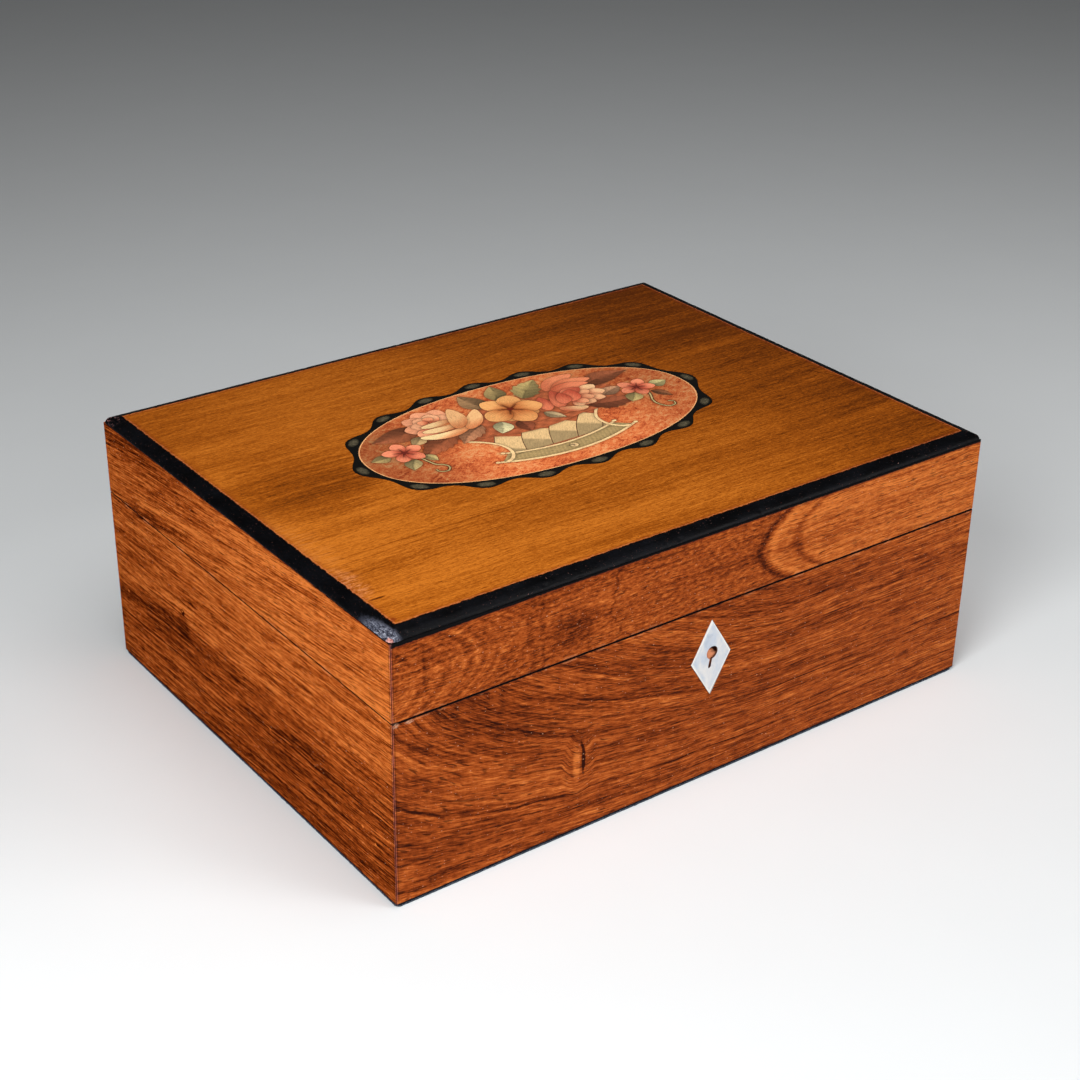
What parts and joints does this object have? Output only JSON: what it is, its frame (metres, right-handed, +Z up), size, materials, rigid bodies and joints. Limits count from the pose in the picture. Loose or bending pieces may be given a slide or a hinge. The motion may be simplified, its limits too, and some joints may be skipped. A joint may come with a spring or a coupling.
{
  "type": "keepsake box",
  "caption": "Rectangular wooden keepsake box with a back-hinged lid, black edging, an oval flower-basket inlay, a pearl keyhole plate and a felt underside; holds small things.",
  "frame": {"origin": "middle of the underside, at the bottom centre of the closed box with its hinge knuckles", "axes": "+Z up, +X to the right along the box's length as one faces the keyhole, +Y to the back where the hinges are"},
  "size_m": [0.3, 0.2319, 0.1186],
  "materials": {
    "rosewood": "red-brown figured veneer under a worn satin polish",
    "lid_veneer": "golden-brown straight-grained veneer under a satin polish",
    "ebonised_edging": "black stain and polish, worn through at one corner",
    "inlay": "marquetry of stained and sand-shaded woods, polished flush",
    "mother_of_pearl": "bluish white pearl with bright rims",
    "felt": "dark grey-blue felt with pale loose threads along its edge",
    "brass": "aged brass"
  },
  "bodies": {
    "base": {"base_front": "rosewood", "base_back": "rosewood", "base_left": "rosewood", "base_right": "rosewood", "base_bottom": "rosewood", "base_felt": "felt", "keyhole_plate": "mother_of_pearl", "hinge_left_base_leaf": "brass", "hinge_right_base_leaf": "brass", "hinge_left_pin": "brass", "hinge_right_pin": "brass", "screw_left_base_inner": "brass", "screw_left_base_outer": "brass", "screw_right_base_inner": "brass", "screw_right_base_outer": "brass"},
    "lid": {"lid_front": "rosewood", "lid_back": "rosewood", "lid_left": "rosewood", "lid_right": "rosewood", "lid_top": "lid_veneer", "lid_inlay": "inlay", "edging_front": "ebonised_edging", "edging_back": "ebonised_edging", "edging_left": "ebonised_edging", "edging_right": "ebonised_edging", "hinge_left_lid_leaf": "brass", "hinge_right_lid_leaf": "brass", "screw_left_lid_inner": "brass", "screw_left_lid_outer": "brass", "screw_right_lid_inner": "brass", "screw_right_lid_outer": "brass"}
  },
  "joints": [
    {"name": "lid_hinge", "type": "hinge", "parent": "base", "child": "lid", "pos_m": [0, 0.1139, 0.08195], "axis": [-1, 0, 0], "range_deg": [0, 100]}
  ]
}
